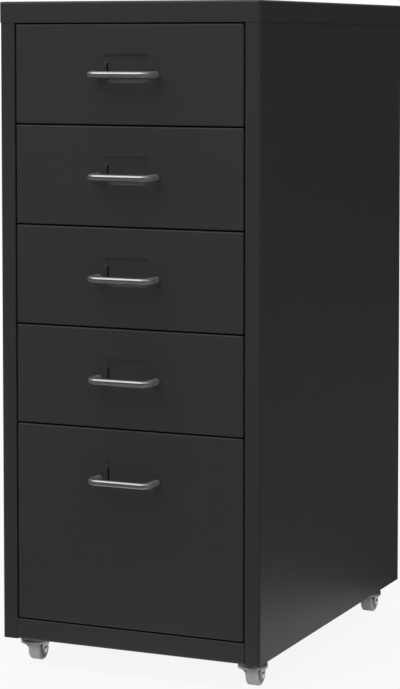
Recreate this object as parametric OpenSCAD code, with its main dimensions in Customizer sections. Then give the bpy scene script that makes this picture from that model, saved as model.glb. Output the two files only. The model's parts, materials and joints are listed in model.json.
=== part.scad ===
// Rolling drawer cabinet: a sheet-steel carcass on four swivel casters, with four small drawers
// over one tall drawer. Each drawer hangs by its side flanges in a pair of channel runners.
// Millimetres, +Z up, front towards -Y, origin on the floor under the middle of the whole object.

/* [Carcass] */
// Width over the two side panels
body_w = 287; // [262:1:420]
// Depth over the side panels, from front face to rear face
body_d = 416; // [370:1:560]
// Height from the floor to the top
total_h = 686; // [600:1:860]
// Thickness of the carcass sheet
panel_t = 0.8; // [0.6:0.1:1.4]
// Outer radius of the large bends
corner_r = 2.4; // [2:0.1:5]
// Outer radius of the small bends beside the drawer fronts
edge_r = 1.2; // [1:0.1:1.8]
// Width of the front flange of each side panel
flange_w = 16.4; // [15:0.2:24]
// Depth of the return behind the front flange
flange_return = 10; // [6:0.5:12]
// Width of the rear flange of each side panel
rear_flange_w = 17; // [14:0.5:30]
// Width of the flange along the top of each side panel
top_flange_w = 12; // [8:0.5:16]
// Height of the lip that the cap turns down all round
cap_lip = 21.5; // [16:0.5:40]
// Height of the rail below the bottom drawer
rail_h = 21.2; // [14:0.2:40]
// Depth of the return behind the top of the rail
rail_return = 12; // [6:0.5:16]
// Joint between the rail and each side panel
rail_joint = 0.3; // [0.1:0.1:0.8]
// Height of the base's side and rear upstands
upstand_h = 16; // [10:0.5:30]
// Thickness of the back panel
back_t = 0.7; // [0.5:0.1:1.2]
// Number of screws down each rear flange
rear_screw_count = 4; // [2:1:6]
// Shank diameter of the carcass screws
rear_screw_d = 4; // [3:0.5:5]
// Height of the heads of the carcass screws
rear_head_h = 1.8; // [1.4:0.1:2.6]

/* [Drawers] */
// Height of the tall bottom drawer, counted in small drawers
tall_units = 2; // [1:0.5:3]
// Gap round each drawer front
front_gap = 1.4; // [0.8:0.1:2.4]
// Thickness of the drawer sheet
drawer_t = 0.7; // [0.5:0.1:0.9]
// Depth of the folded edges of a drawer front
front_depth = 12; // [9:0.5:16]
// Outer radius of the folds of a drawer front
front_r = 1.4; // [1.2:0.1:2.4]
// Space between the trays and the rear face
rear_space = 14.7; // [12:0.1:40]
// Height of a tray's floor above the lower edge of its front
tray_lift = 5; // [4.6:0.2:10]
// Drop from the upper edge of a front to the tray's top flanges
tray_drop = 16; // [12:0.5:24]
// Width of the flange on each side of a tray
tray_flange = 6.5; // [5:0.5:8]
// Height of the hook along the edge of the flange
hook_h = 4; // [3:0.5:7]
// Centre-line radius of a tray's bends
tray_bend = 1.2; // [0.8:0.1:1.4]
// Clearance between a tray's hook and the side of the front opening
hook_clear = 1.6; // [0.6:0.2:2.4]
// Drop from the tray's top flanges to the upper edge of its back
back_drop = 6; // [5:0.5:12]
// Length of the flanges of a tray's back
back_flange = 10; // [9:0.5:18]
// Shank diameter of the rivets that hold the back
rivet_d = 4; // [3:0.2:4.8]
// How far a drawer pulls out
travel = 300; // [150:5:320]

/* [Runners] */
// Thickness of the runner sheet
runner_t = 0.8; // [0.6:0.1:1.2]
// Running clearance above and below the tray's hook
run_clear = 0.3; // [0.2:0.05:0.5]
// Clearance between a tray's side and the edge of the runner
shelf_clear = 0.8; // [0.4:0.1:1.4]
// Distance from the front's folded edges to the runner
runner_setback = 2; // [1:0.5:8]
// Clearance at the front and rear stops
stop_clear = 0.5; // [0.3:0.1:1]
// Height of the stop tab under a runner
stop_h = 8; // [5:0.5:10]
// Size of the stop ear at the rear of a tray
ear_w = 5; // [4:0.5:6]

/* [Label holders] */
// Width of the card opening
label_w = 45.8; // [30:0.2:90]
// Height of the pressed recess
label_h = 25.8; // [16:0.2:34]
// Drop from the upper edge of a front to the recess
label_drop = 30.8; // [10:0.2:34]
// Depth of the recess
label_depth = 1.6; // [1.4:0.1:2.6]
// Centre-line radius of the bends of the recess
label_bend = 0.7; // [0.6:0.05:0.7]
// Width of the slit at each side of the card
slit_w = 0.7; // [0.4:0.1:1.2]
// Drop from the top of the recess to the slits
slit_drop = 8.2; // [2:0.2:10]
// Width of the raised beads beside and below the card
bead_w = 2.9; // [2:0.1:3.4]
// Height of the raised beads
bead_h = 0.5; // [0.2:0.05:0.9]

/* [Handles] */
// Diameter of the rod
rod_d = 7; // [6:0.5:10]
// Distance between the centres of the legs
handle_cc = 64; // [48:1:160]
// Distance from the front face to the centre of the bar
handle_proj = 24; // [20:0.5:40]
// Centre-line radius of the bends
handle_bend = 8; // [6:0.5:12]
// Drop from the upper edge of a front to the bar
handle_drop = 50.3; // [30:0.1:60]
// Diameter of the handle screws
handle_screw_d = 4; // [3:0.5:4]
// Depth of the tapped hole in each leg
handle_bore = 10; // [8:0.5:11]

/* [Casters] */
// Height of a caster, from the floor to the base
caster_h = 30; // [29.5:0.5:45]
// Distance from the side face to the swivel axis
caster_side = 20.5; // [20:0.5:60]
// Distance from the front face to the front swivel axes
caster_front = 32; // [28:0.5:80]
// Distance from the rear face to the rear swivel axes
caster_rear = 47; // [34:0.5:80]
// Distance from the swivel axis back to the wheel's axle
trail = 6.5; // [6:0.5:8.5]
// Width of the square mounting plate
plate_w = 33; // [32:0.5:38]
// Thickness of the mounting plate
plate_t = 1.6; // [1.2:0.1:2.4]
// Distance between neighbouring screws of a plate
plate_pitch = 25; // [24.5:0.5:26]
// Diameter of the caster screws
plate_screw_d = 4; // [3:0.5:4]
// Thickness of the fork's sheet
fork_t = 1.3; // [1:0.1:1.5]
// Outer diameter of the fork's cup
cup_d = 30.4; // [29:0.2:34]
// Height of the cup
cup_h = 5.8; // [5.4:0.1:10]
// Outer radius of the cup's shoulder
cup_r = 4; // [2.5:0.1:5]
// Radius of the foot of each fork leg
leg_r = 5.4; // [4:0.1:5.6]
// Sideways step of each leg below the cup
leg_step = 4; // [2:0.1:4.4]
// Clearance between the wheel and each leg
leg_clear = 0.6; // [0.4:0.1:1]
// Diameter of the kingpin
pin_d = 6; // [4:0.5:7]
// Diameter of the balls
ball_d = 2.2; // [1.6:0.1:2.4]
// Number of balls in a caster
ball_count = 12; // [8:1:14]
// Radius of the ring of balls
ball_ring = 9.2; // [8:0.1:9.6]
// Diameter of the wheel
wheel_d = 22; // [18:0.5:23]
// Width of the wheel
wheel_w = 13.6; // [10:0.2:15]
// Radius of the wheel's edges
wheel_r = 2; // [1:0.1:2.4]
// Depth of the hollow in each side of the wheel
wheel_hollow = 1.8; // [0.5:0.1:3]
// Diameter of the wheel's hub
hub_d = 8.4; // [7.6:0.2:10]
// Diameter of the axle
axle_d = 4; // [3:0.5:5]

/* [Hidden] */
$fn = 64;

drawer_count = 5;
corners = ["front_left", "front_right", "rear_left", "rear_right"];
carcass_nodes = ["top_panel", "left_side_panel", "right_side_panel", "back_panel", "base_panel",
    "left_runners", "right_runners", "carcass_screws", "caster_screws", "caster_nuts",
    "caster_kingpins", "caster_balls"];
drawer_pieces = ["front", "tray", "back", "rivets", "handle", "handle_screws"];
caster_pieces = ["plate", "fork", "axle", "wheel"];

// Colours
paint = [0.21, 0.21, 0.215];
inside_paint = [0.25, 0.25, 0.255];
plated = [0.72, 0.72, 0.73];
zinc = [0.62, 0.62, 0.6];
wheel_grey = [0.66, 0.66, 0.65];

// A cut goes this far past the faces that it opens
past = 1;
// Pieces of one sheet part reach this far into each other
lap = 1;

// Cross recess and crown of every pan head
slot_w = 1.1;
slot_l = 4.2;
dome_r = 7;

// Carcass faces
half_w = body_w / 2;
inner_half = half_w - panel_t;
handle_reach = handle_proj + rod_d / 2;
rear_reach = panel_t + rear_head_h;
front_y = (handle_reach - body_d - rear_reach) / 2;
rear_y = front_y + body_d;
back_y = rear_y - panel_t - back_t;
upstand_y = back_y - panel_t;
opening_half = half_w - flange_w;
cap_z = total_h - panel_t;
rail_z = caster_h + rail_h;
// Clearance between the rail's floor and the side panels' returns
notch_clear = 0.4;
notch_y = front_y + flange_return + notch_clear;
// Clearance between the back panel's edges and the bends beside them
back_clear = 0.3;
back_half = half_w - corner_r - back_clear;

// Carcass screws
rear_screw_x = half_w - rear_flange_w / 2;
rear_screw_tip = 3;
rear_head_d = 8;
rear_screw_low = 45;
rear_screw_z = [for (k = [0 : rear_screw_count - 1]) caster_h + rear_screw_low
    + k * (total_h - caster_h - cap_lip - 2 * rear_screw_low) / (rear_screw_count - 1)];
cap_screw_z = total_h - cap_lip / 2;
base_screw_x = 60;
base_screw_z = caster_h + upstand_h / 2 + panel_t;

// Drawer fronts: the opening is shared out in equal units
front_half = opening_half - front_gap;
opening_z0 = rail_z + front_gap / 2;
opening_z1 = total_h - cap_lip - front_gap / 2;
unit_h = (opening_z1 - opening_z0) / (drawer_count - 1 + tall_units);
function front_z1(i) = opening_z1 - (i - 1) * unit_h - front_gap / 2;
function front_z0(i) = (i < drawer_count ? opening_z1 - i * unit_h : opening_z0) + front_gap / 2;

// Trays
hook_half = opening_half - hook_clear;
tray_half = hook_half - tray_flange;
tray_y0 = front_y + drawer_t;
tray_y1 = rear_y - rear_space;
hook_setback = 0.5;
hook_y0 = front_y + front_depth + hook_setback;
weld_tab = 4;
weld_tab_drop = 3;
weld_tab_inset = 12;
function tray_z0(i) = front_z0(i) + tray_lift;
function tray_z1(i) = front_z1(i) - tray_drop;
// The sides stand plain up to here, and the hook's bend carries on above
function side_z(i) = tray_z1(i) - drawer_t / 2 - tray_bend;
function back_z0(i) = tray_z0(i) + drawer_t / 2 + tray_bend;
function back_z1(i) = tray_z1(i) - back_drop;
// Middle of the flange beside its bend
rivet_y = tray_y1 - (back_flange - drawer_t / 2 - tray_bend) / 2;
rivet_inset = 14;
rivet_drop = 24;
rivet_head_d = 8;
rivet_head_h = 1.1;
rivet_grip = 2 * drawer_t;
function rivet_z(i) = [tray_z0(i) + rivet_inset, back_z1(i) - rivet_drop];

// Runners
runner_in = tray_half + shelf_clear;
runner_y0 = front_y + max(front_depth, flange_return) + runner_setback;
runner_y1 = tray_y1 + stop_clear + runner_t;
runner_bend = 1.2;
function run_z0(i) = tray_z1(i) - hook_h - run_clear;
function run_z1(i) = tray_z1(i) + run_clear;
ear_past = 1;
ear_h = stop_h + ear_past;
ear_clear = 0.6;
function ear_z1(i) = run_z0(i) - runner_t - ear_clear;
stop_y = tray_y1 - drawer_t - travel - stop_clear - runner_t;

// Label recess
label_straight = 0.1;
label_r = min(label_bend, (label_depth - label_straight) / 2);
floor_w = label_w - 2 * slit_w;
bead_R = (bead_w * bead_w / 4 + bead_h * bead_h) / (2 * bead_h);
bead_inset = 1.1;
function label_z1(i) = front_z1(i) - label_drop + drawer_t / 2;
function label_z0(i) = front_z1(i) - label_drop - label_h - drawer_t / 2;

// Handle screws
handle_hole_clear = 0.15;
handle_head_d = 7.6;
handle_head_h = 2.3;
handle_bore_spare = 1;
function handle_z(i) = front_z1(i) - handle_drop;

// Casters
function corner_x(corner) = (corner == "front_left" || corner == "rear_left" ? -1 : 1)
    * (half_w - caster_side);
function corner_y(corner) = corner == "front_left" || corner == "front_right"
    ? front_y + caster_front : rear_y - caster_rear;
plate_z = caster_h - plate_t;
plate_corner_r = 3;
plate_head_d = 6.6;
plate_head_h = 1.8;
nut_af = 7;
nut_h = 3;
nut_spare = 0.6;
race_d = 24;
race_t = 0.9;
race_h = 1.9;
ball_seat = 0.05;
ball_clear = 0.3;
ball_z = plate_z - ball_seat - ball_d / 2;
cup_z = ball_z - ball_d / 2 - ball_clear;
cup_under = cup_z - fork_t;
rim_z = cup_z - cup_h;
pin_clear = 0.08;
pin_head_d = 10;
pin_head_h = 1.3;
pin_head_clear = 0.3;
axle_z = wheel_d / 2;
axle_clear = 0.05;
axle_head_d = 6.6;
axle_head_h = 0.9;
knee_clear = 0.15;
leg_in = wheel_w / 2 + leg_clear;
leg_out = leg_in + fork_t;
// The legs end flush with the cup at the rear and reach this far forwards
leg_back = sqrt(pow(cup_d / 2, 2) - pow(leg_out, 2));
leg_front = 5;
tread_t = 3;
hollow_d = wheel_d - 2 * tread_t;

// A rectangle centred on the origin, with round corners
module rounded_rect(w, h, r) {
    square([w - 2 * r, h], center = true);
    square([w, h - 2 * r], center = true);
    for (x = [-1, 1], y = [-1, 1]) translate([x * (w / 2 - r), y * (h / 2 - r)]) circle(r);
}

// One straight run of a bent strip, t thick, from p to q along an axis
module run(p, q, t) {
    along = [abs(q.x - p.x), abs(q.y - p.y)];
    half = along.x > along.y ? [0, t / 2] : [t / 2, 0];
    translate([min(p.x, q.x), min(p.y, q.y)] - half) square(along + 2 * half);
}

// The quarter bend at corner p of a strip that arrives along a and leaves along b
module bend(p, a, b, r, t) {
    centre = p + (b - a) * r;
    reach = r + t;
    towards = a - b;
    intersection() {
        translate(centre) difference() {
            circle(r + t / 2);
            circle(r - t / 2);
        }
        translate(centre + [min(towards.x, 0), min(towards.y, 0)] * reach) square(reach);
    }
}

// Section of a sheet, t thick, whose middle follows the points; radii has one value per bend
module strip(points, radii, t) {
    last = len(points) - 1;
    steps = [for (k = [0 : last - 1]) (points[k + 1] - points[k]) / norm(points[k + 1] - points[k])];
    for (k = [0 : last - 1]) {
        from = points[k] + (k > 0 ? steps[k] * radii[k - 1] : [0, 0]);
        to = points[k + 1] - (k < last - 1 ? steps[k] * radii[k] : [0, 0]);
        run(from, to, t);
    }
    for (k = [1 : last - 1]) bend(points[k], steps[k - 1], steps[k], radii[k - 1], t);
}

// Sections drawn in XZ and pulled along Y, or drawn in YZ and pulled along X
module along_y(y0, y1) {
    translate([0, y1, 0]) rotate([90, 0, 0]) linear_extrude(y1 - y0) children();
}
module along_x(x0, x1) {
    translate([x0, 0, 0]) rotate([90, 0, 90]) linear_extrude(x1 - x0) children();
}

// A block with its face at z = 0, round edges edge_r round the face and upright corners plan_r
module folded_block(w, h, depth, edge_r, plan_r) {
    tall = depth + edge_r + past;
    intersection() {
        linear_extrude(depth) rounded_rect(w, h, plan_r);
        along_y(-h, h) translate([0, tall / 2]) rounded_rect(w, tall, edge_r);
        along_x(-w, w) translate([0, tall / 2]) rounded_rect(h, tall, edge_r);
    }
}

// A sheet whose four edges are folded to the same side
module folded_pan(w, h, depth, t, edge_r, plan_r) {
    difference() {
        folded_block(w, h, depth, edge_r, plan_r);
        translate([0, 0, t]) folded_block(w - 2 * t, h - 2 * t, depth, edge_r - t, plan_r - t);
    }
}

// A pan-head screw: shank up from z = 0, head below it, with a cross recess
module pan_screw(d, length, head_d, head_h) {
    cylinder(d = d, h = length);
    difference() {
        intersection() {
            translate([0, 0, -head_h]) cylinder(d = head_d, h = head_h);
            translate([0, 0, dome_r - head_h]) sphere(dome_r);
        }
        for (turn = [0, 90]) rotate(turn) translate([-slot_l / 2, -slot_w / 2, -head_h - past])
            cube([slot_l, slot_w, past + head_h / 2]);
    }
}

// A domed rivet head on z = 0
module rivet_head(d, h) {
    ball_r = (d * d / 4 + h * h) / (2 * h);
    intersection() {
        translate([0, 0, h - ball_r]) sphere(ball_r);
        cylinder(d = d, h = h + past);
    }
}

module top_panel() {
    color(paint) difference() {
        translate([0, (front_y + rear_y) / 2, total_h]) rotate([180, 0, 0])
            folded_pan(body_w + 2 * panel_t, body_d + 2 * panel_t, cap_lip, panel_t, corner_r,
                corner_r + panel_t);
        for (side = [-1, 1]) translate([side * rear_screw_x, rear_y + panel_t + past, cap_screw_z])
            rotate([90, 0, 0]) cylinder(d = rear_screw_d, h = panel_t + 2 * past);
    }
}

// The right side panel; the left one is its mirror image
module side_panel() {
    t = panel_t;
    big = corner_r - t / 2;
    color(paint) difference() {
        union() {
            translate([0, 0, caster_h]) linear_extrude(cap_z - corner_r - caster_h) strip([
                [opening_half + t / 2, front_y + flange_return],
                [opening_half + t / 2, front_y + t / 2],
                [half_w - t / 2, front_y + t / 2],
                [half_w - t / 2, rear_y - t / 2],
                [half_w - rear_flange_w, rear_y - t / 2]],
                [edge_r - t / 2, big, big], t);
            along_y(front_y + flange_return + lap, upstand_y - lap) strip([
                [half_w - top_flange_w, cap_z - t / 2], [half_w - t / 2, cap_z - t / 2],
                [half_w - t / 2, cap_z - corner_r - lap]], [big], t);
        }
        for (z = concat(rear_screw_z, [cap_screw_z]))
            translate([rear_screw_x, rear_y + past, z]) rotate([90, 0, 0])
                cylinder(d = rear_screw_d, h = t + 2 * past);
    }
}

module back_panel() {
    color(paint) difference() {
        translate([-back_half, back_y, caster_h])
            cube([2 * back_half, back_t, cap_z - panel_t - caster_h]);
        for (side = [-1, 1], z = concat(rear_screw_z, [cap_screw_z]))
            translate([side * rear_screw_x, back_y + back_t + past, z]) rotate([90, 0, 0])
                cylinder(d = rear_screw_d, h = back_t + 2 * past);
        for (side = [-1, 1]) translate([side * base_screw_x, back_y + back_t + past, base_screw_z])
            rotate([90, 0, 0]) cylinder(d = rear_screw_d, h = back_t + 2 * past);
    }
}

module base_panel() {
    t = panel_t;
    mid_z = caster_h + t / 2;
    big = corner_r - t / 2;
    side_x = inner_half - t / 2;
    color(paint) difference() {
        union() {
            // Floor with the rail in front and the rear upstand
            along_x(-opening_half + rail_joint, opening_half - rail_joint) strip([
                [front_y + rail_return, rail_z - t / 2],
                [front_y + t / 2, rail_z - t / 2],
                [front_y + t / 2, mid_z],
                [upstand_y + t / 2, mid_z],
                [upstand_y + t / 2, caster_h + upstand_h]],
                [edge_r - t / 2, big, big], t);
            // Floor with the side upstands, behind the side panels' front flanges
            along_y(notch_y, upstand_y - corner_r) strip([
                [-side_x, caster_h + upstand_h],
                [-side_x, mid_z],
                [side_x, mid_z],
                [side_x, caster_h + upstand_h]],
                [big, big], t);
        }
        for (corner = corners) caster_screw_places(corner) translate([0, 0, -past])
            cylinder(d = plate_screw_d, h = plate_t + t + 2 * past);
        for (side = [-1, 1]) translate([side * base_screw_x, upstand_y + t + past, base_screw_z])
            rotate([90, 0, 0]) cylinder(d = rear_screw_d, h = t + 2 * past);
    }
}

// The runner of drawer i on the right; the left one is its mirror image
module runner(i) {
    t = runner_t;
    web_x = inner_half - t / 2;
    z0 = run_z0(i);
    z1 = run_z1(i);
    along_y(runner_y0, runner_y1) strip([
        [runner_in, z1 + t / 2],
        [web_x, z1 + t / 2],
        [web_x, z0 - t / 2],
        [runner_in, z0 - t / 2]],
        [runner_bend, runner_bend], t);
    // Closed rear end
    translate([runner_in, tray_y1 + stop_clear, z0 - t / 2])
        cube([web_x - runner_in, t, z1 - z0 + t]);
    // Stop tab under the lower shelf
    translate([runner_in + lap / 2, stop_y, z0 - t - stop_h]) cube([ear_w + lap, t, stop_h + t / 2]);
}

module runners() {
    color(zinc) for (i = [1 : drawer_count]) runner(i);
}

module carcass_screws() {
    length = panel_t + back_t + rear_screw_tip;
    color(zinc) {
        for (side = [-1, 1], z = rear_screw_z) translate([side * rear_screw_x, rear_y, z])
            rotate([90, 0, 0]) pan_screw(rear_screw_d, length, rear_head_d, rear_head_h);
        for (side = [-1, 1]) {
            translate([side * rear_screw_x, rear_y + panel_t, cap_screw_z]) rotate([90, 0, 0])
                pan_screw(rear_screw_d, length + panel_t, rear_head_d, rear_head_h);
            translate([side * base_screw_x, back_y + back_t, base_screw_z]) rotate([90, 0, 0])
                pan_screw(rear_screw_d, length, rear_head_d, rear_head_h);
        }
    }
}

// A rod with round ends, from p to q along X or Z
module round_rod(p, q, r) {
    for (end = [p, q]) translate(end) sphere(r);
    translate(p) rotate([0, q.x > p.x ? 90 : 0, 0]) cylinder(r = r, h = norm(q - p));
}

module drawer_front(i) {
    t = drawer_t;
    high = front_z1(i) - front_z0(i);
    z1 = label_z1(i);
    z0 = label_z0(i);
    slit_z1 = z1 - t / 2 - slit_drop;
    slit_z0 = z0 + t / 2;
    face = front_y + t / 2;
    deep = face + label_depth;
    wall_x = label_w / 2 - label_r;
    bead_x = (label_w + bead_w) / 2;
    bead_y = front_y + bead_R - bead_h;
    bead_z = z0 - label_r - bead_w / 2;
    color(paint) difference() {
        union() {
            difference() {
                translate([0, front_y, front_z0(i) + high / 2]) rotate([-90, 0, 0])
                    folded_pan(2 * front_half, high, front_depth, t, front_r, front_r);
                translate([-label_w / 2, front_y - past, slit_z0])
                    cube([label_w, t + 2 * past, z1 + label_r - slit_z0]);
                translate([-floor_w / 2, front_y - past, z0 - label_r])
                    cube([floor_w, t + 2 * past, label_r + t]);
            }
            // Floor of the recess, bent at its upper and lower edges
            along_x(-floor_w / 2, floor_w / 2) strip([
                [face, z1 + label_r + lap], [face, z1], [deep, z1],
                [deep, z0], [face, z0], [face, z0 - label_r - lap]],
                [label_r, label_r, label_r, label_r], t);
            // Its sides are closed above the slits
            for (side = [0, 1]) mirror([side, 0, 0]) translate([0, 0, slit_z1])
                linear_extrude(z1 + label_r - slit_z1) strip([
                    [wall_x + label_r + lap, face], [wall_x, face],
                    [wall_x, deep], [wall_x - label_r - lap, deep]],
                    [label_r, label_r], t);
            // Beads beside and below the card
            intersection() {
                union() {
                    for (side = [-1, 1]) round_rod([side * bead_x, bead_y, slit_z0 + bead_w / 2],
                        [side * bead_x, bead_y, slit_z1 - bead_w / 2], bead_R);
                    round_rod([bead_inset + bead_w / 2 - floor_w / 2, bead_y, bead_z],
                        [floor_w / 2 - bead_inset - bead_w / 2, bead_y, bead_z], bead_R);
                }
                difference() {
                    translate([-label_w, front_y - bead_h - past, z0 - label_h])
                        cube([2 * label_w, bead_h + past + t / 2, z1 - z0 + label_h]);
                    translate([-label_w / 2, front_y, z0 - label_r])
                        cube([label_w, t, z1 - z0]);
                }
            }
        }
        for (side = [-1, 1]) translate([side * handle_cc / 2, front_y + t + past, handle_z(i)])
            rotate([90, 0, 0]) cylinder(d = handle_screw_d + 2 * handle_hole_clear, h = t + 2 * past);
    }
}

module tray(i) {
    t = drawer_t;
    mid_x = tray_half - t / 2;
    mid_z = tray_z0(i) + t / 2;
    hook_x = hook_half - t / 2;
    top_z = tray_z1(i) - t / 2;
    color(inside_paint) difference() {
        union() {
            along_y(tray_y0, tray_y1) strip([
                [-mid_x, side_z(i)], [-mid_x, mid_z], [mid_x, mid_z], [mid_x, side_z(i)]],
                [tray_bend, tray_bend], t);
            // Top flanges with their hooks
            for (side = [-1, 1]) along_y(hook_y0, tray_y1) strip([
                [side * mid_x, side_z(i) - lap], [side * mid_x, top_z],
                [side * hook_x, top_z], [side * hook_x, tray_z1(i) - hook_h]],
                [tray_bend, tray_bend], t);
            // Tabs welded to the back of the front
            for (side = [-1, 1]) translate([side * (tray_half + weld_tab / 2 - t / 2), tray_y0 + t / 2,
                (tray_z0(i) + side_z(i)) / 2])
                cube([weld_tab + t, t, side_z(i) - tray_z0(i) - 2 * weld_tab_inset], center = true);
            translate([-tray_half + weld_tab_inset, tray_y0, tray_z0(i) - weld_tab_drop])
                cube([2 * (tray_half - weld_tab_inset), t, weld_tab_drop + t / 2]);
            // Stop ears at the rear
            for (side = [-1, 1]) translate([side * (tray_half + ear_w / 2 - t / 2), tray_y1 - t / 2,
                ear_z1(i) - ear_h / 2])
                cube([ear_w + t, t, ear_h], center = true);
        }
        rivet_holes(i);
    }
}

module rivet_holes(i) {
    for (side = [-1, 1], z = rivet_z(i)) translate([side * (tray_half - drawer_t), rivet_y, z])
        rotate([0, 90, 0]) cylinder(d = rivet_d, h = 2 * rivet_grip, center = true);
}

module tray_back(i) {
    t = drawer_t;
    mid_x = tray_half - t - t / 2;
    mid_y = tray_y1 - back_flange + t / 2;
    color(inside_paint) difference() {
        translate([0, 0, back_z0(i)]) linear_extrude(back_z1(i) - back_z0(i)) strip([
            [-mid_x, tray_y1], [-mid_x, mid_y],
            [mid_x, mid_y], [mid_x, tray_y1]],
            [tray_bend, tray_bend], t);
        rivet_holes(i);
    }
}

module drawer_rivets(i) {
    color(zinc) for (side = [0, 1], z = rivet_z(i)) mirror([side, 0, 0])
        translate([tray_half - rivet_grip, rivet_y, z]) rotate([0, 90, 0]) {
            cylinder(d = rivet_d, h = rivet_grip);
            translate([0, 0, rivet_grip]) rivet_head(rivet_head_d, rivet_head_h);
            rotate([180, 0, 0]) rivet_head(rivet_head_d, rivet_head_h);
        }
}

module handle(i) {
    straight = handle_proj - handle_bend;
    bar = handle_cc - 2 * handle_bend;
    color(plated) translate([0, front_y, handle_z(i)]) difference() {
        union() {
            for (side = [0, 1]) mirror([side, 0, 0]) {
                translate([handle_cc / 2, 0, 0]) rotate([90, 0, 0]) cylinder(d = rod_d, h = straight);
                translate([bar / 2, -straight, 0]) rotate(-90) rotate_extrude(angle = 90)
                    translate([handle_bend, 0]) circle(d = rod_d);
            }
            translate([-bar / 2, -handle_proj, 0]) rotate([0, 90, 0]) cylinder(d = rod_d, h = bar);
        }
        for (side = [-1, 1]) translate([side * handle_cc / 2, past, 0]) rotate([90, 0, 0])
            cylinder(d = handle_screw_d, h = handle_bore + past);
    }
}

module handle_screws(i) {
    color(zinc) for (side = [-1, 1])
        translate([side * handle_cc / 2, front_y + drawer_t, handle_z(i)]) rotate([90, 0, 0])
            pan_screw(handle_screw_d, drawer_t + handle_bore - handle_bore_spare, handle_head_d,
                handle_head_h);
}

// Puts its children at the four screws of a caster, at the underside of the mounting plate
module caster_screw_places(corner) {
    for (x = [-1, 1], y = [-1, 1])
        translate([corner_x(corner) + x * plate_pitch / 2, corner_y(corner) + y * plate_pitch / 2,
            plate_z])
            children();
}

module caster_screws() {
    color(zinc) for (corner = corners) caster_screw_places(corner)
        pan_screw(plate_screw_d, plate_t + panel_t + nut_h + nut_spare, plate_head_d, plate_head_h);
}

module caster_nuts() {
    color(zinc) for (corner = corners) caster_screw_places(corner)
        translate([0, 0, plate_t + panel_t]) difference() {
            cylinder(d = nut_af / cos(30), h = nut_h, $fn = 6);
            translate([0, 0, -past]) cylinder(d = plate_screw_d, h = nut_h + 2 * past);
        }
}

module caster_kingpins() {
    head_z = cup_under - pin_head_clear - pin_head_h;
    color(zinc) for (corner = corners) translate([corner_x(corner), corner_y(corner), head_z]) {
        cylinder(d = pin_d, h = caster_h - head_z);
        cylinder(d = pin_head_d, h = pin_head_h);
    }
}

module caster_balls() {
    color(zinc) for (corner = corners) translate([corner_x(corner), corner_y(corner), ball_z])
        for (k = [0 : ball_count - 1]) rotate(k * 360 / ball_count) translate([ball_ring, 0, 0])
            sphere(d = ball_d);
}

module caster_plate(corner) {
    color(zinc) difference() {
        union() {
            translate([corner_x(corner), corner_y(corner), plate_z]) linear_extrude(plate_t)
                rounded_rect(plate_w, plate_w, plate_corner_r);
            translate([corner_x(corner), corner_y(corner), plate_z - race_h]) difference() {
                cylinder(d = race_d, h = race_h + plate_t / 2);
                translate([0, 0, -past]) cylinder(d = race_d - 2 * race_t, h = race_h + past);
            }
        }
        translate([corner_x(corner), corner_y(corner), plate_z - past])
            cylinder(d = pin_d, h = plate_t + 2 * past);
        caster_screw_places(corner) translate([0, 0, -past])
            cylinder(d = plate_screw_d, h = plate_t + 2 * past);
    }
}

// Half section of the cup: a flat top, a round shoulder and a straight skirt
module cup_section(r, z0, z1, shoulder) {
    square_h = z1 - shoulder - z0;
    translate([0, z0]) square([r, square_h]);
    translate([0, z0]) square([r - shoulder, z1 - z0]);
    intersection() {
        translate([r - shoulder, z1 - shoulder]) circle(shoulder);
        translate([0, z1 - shoulder]) square([r, shoulder]);
    }
}

module fork_cup() {
    r = cup_d / 2;
    difference() {
        rotate_extrude() cup_section(r, rim_z, cup_z, cup_r);
        rotate_extrude() cup_section(r - fork_t, rim_z - past, cup_under, cup_r - fork_t);
        // The skirt is open at the rear, where the wheel comes through
        translate([-leg_in, leg_front, rim_z - past]) cube([2 * leg_in, r, cup_under - rim_z + past]);
    }
}

// Both legs: outlines from the front and from the side, trimmed to the cup above the knee
module fork_legs() {
    knee_z = axle_z + axle_head_d / 2 + knee_clear;
    top_z = cup_under + fork_t / 2;
    low_z = axle_z - leg_r - past;
    intersection() {
        for (side = [-1, 1]) along_y(-cup_d, cup_d) polygon([
            [side * leg_in, low_z], [side * leg_out, low_z], [side * leg_out, knee_z],
            [side * (leg_out + leg_step), rim_z], [side * (leg_out + leg_step), top_z],
            [side * (leg_in + leg_step), top_z], [side * (leg_in + leg_step), rim_z],
            [side * leg_in, knee_z]]);
        along_x(-cup_d, cup_d) {
            translate([trail, axle_z]) circle(leg_r);
            polygon([[trail - leg_r, axle_z], [trail + leg_r, axle_z], [leg_back, knee_z],
                [leg_back, top_z], [-leg_front, top_z], [-leg_front, rim_z]]);
        }
        union() {
            translate([0, 0, knee_z]) cylinder(d = cup_d, h = top_z - knee_z);
            translate([-cup_d, -cup_d, low_z]) cube([2 * cup_d, 2 * cup_d, knee_z - low_z]);
        }
    }
}

module caster_fork(corner) {
    color(zinc) translate([corner_x(corner), corner_y(corner), 0]) difference() {
        union() {
            fork_cup();
            fork_legs();
        }
        translate([0, 0, cup_under - past]) cylinder(r = pin_d / 2 + pin_clear, h = fork_t + 2 * past);
        translate([-cup_d, trail, axle_z]) rotate([0, 90, 0]) cylinder(d = axle_d, h = 2 * cup_d);
    }
}

module caster_axle(corner) {
    color(plated) translate([corner_x(corner), corner_y(corner) + trail, axle_z]) {
        rotate([0, 90, 0]) cylinder(d = axle_d, h = 2 * leg_out, center = true);
        for (side = [0, 1]) mirror([side, 0, 0]) translate([leg_out, 0, 0]) rotate([0, 90, 0])
            rivet_head(axle_head_d, axle_head_h);
    }
}

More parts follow.
